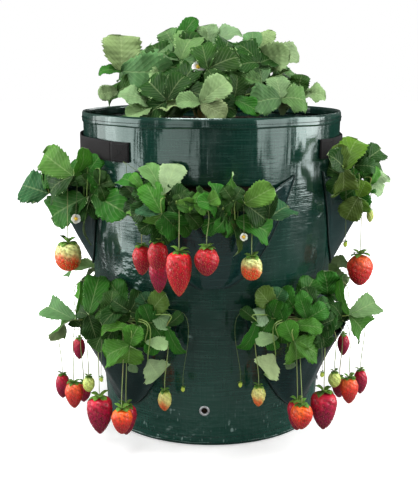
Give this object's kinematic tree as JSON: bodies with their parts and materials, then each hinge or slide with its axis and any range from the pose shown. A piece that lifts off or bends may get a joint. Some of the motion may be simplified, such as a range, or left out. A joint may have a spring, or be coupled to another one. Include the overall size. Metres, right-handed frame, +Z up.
{
  "type": "strawberry grow bag",
  "caption": "Tall round fabric grow bag with folded side pockets, webbing handles and drain eyelets, filled with soil and planted with fruiting strawberries.",
  "frame": {"origin": "centre of the underside of the base, on the floor", "axes": "+Z up, -Y is the front that the picture shows, +X to the right seen from the front"},
  "size_m": [0.478, 0.5028, 0.546],
  "materials": {
    "wall_fabric": "woven plastic cloth with a glossy laminated face",
    "pocket_fabric": "the same cloth, its darker inner face outwards",
    "seam_tape": "black binding tape",
    "webbing": "black woven webbing, matt",
    "eyelet_metal": "plated pressed metal",
    "potting_mix": "dark crumbly soil",
    "foliage": "satin green leaves",
    "berry": "glossy ripe fruit"
  },
  "bodies": {
    "bag": {"wall_panel": "wall_fabric", "rim_hem": "wall_fabric", "base_panel": "wall_fabric", "base_seam_tape": "seam_tape", "wall_seam_strip": "wall_fabric", "pocket_upper_front": "pocket_fabric", "pocket_upper_right": "pocket_fabric", "pocket_upper_back": "pocket_fabric", "pocket_upper_left": "pocket_fabric", "pocket_lower_front_right": "pocket_fabric", "pocket_lower_back_right": "pocket_fabric", "pocket_lower_back_left": "pocket_fabric", "pocket_lower_front_left": "pocket_fabric", "handle_left_ends": "webbing", "handle_right_ends": "webbing", "eyelets": "eyelet_metal", "eyelet_washers": "eyelet_metal", "potting_mix": "potting_mix", "pocket_mix": "potting_mix", "plants_top_front": "foliage", "plants_top_middle": "foliage", "plants_top_back": "foliage", "plant_upper_left": "foliage", "plant_upper_right": "foliage", "plant_upper_front_left": "foliage", "plant_upper_front_right": "foliage", "plant_upper_back_left": "foliage", "plant_upper_back_right": "foliage", "plant_lower_front_left": "foliage", "plant_lower_front_right": "foliage", "plant_lower_back_left": "foliage", "plant_lower_back_right": "foliage", "berries_upper_left": "berry", "berries_upper_right": "berry", "berries_upper_front_left": "berry", "berries_upper_front_right": "berry", "berries_upper_back_left": "berry", "berries_upper_back_right": "berry", "berries_lower_front_left": "berry", "berries_lower_front_right": "berry", "berries_lower_back_left": "berry", "berries_lower_back_right": "berry"},
    "handle_left": {"handle_left_strap": "webbing"},
    "handle_right": {"handle_right_strap": "webbing"}
  },
  "joints": [
    {"name": "handle_left_pull", "type": "slide", "parent": "bag", "child": "handle_left", "axis": [-0.9903, -0.1392, 0], "range_m": [0, 0.025]},
    {"name": "handle_right_pull", "type": "slide", "parent": "bag", "child": "handle_right", "axis": [0.9903, 0.1392, 0], "range_m": [0, 0.025]}
  ]
}
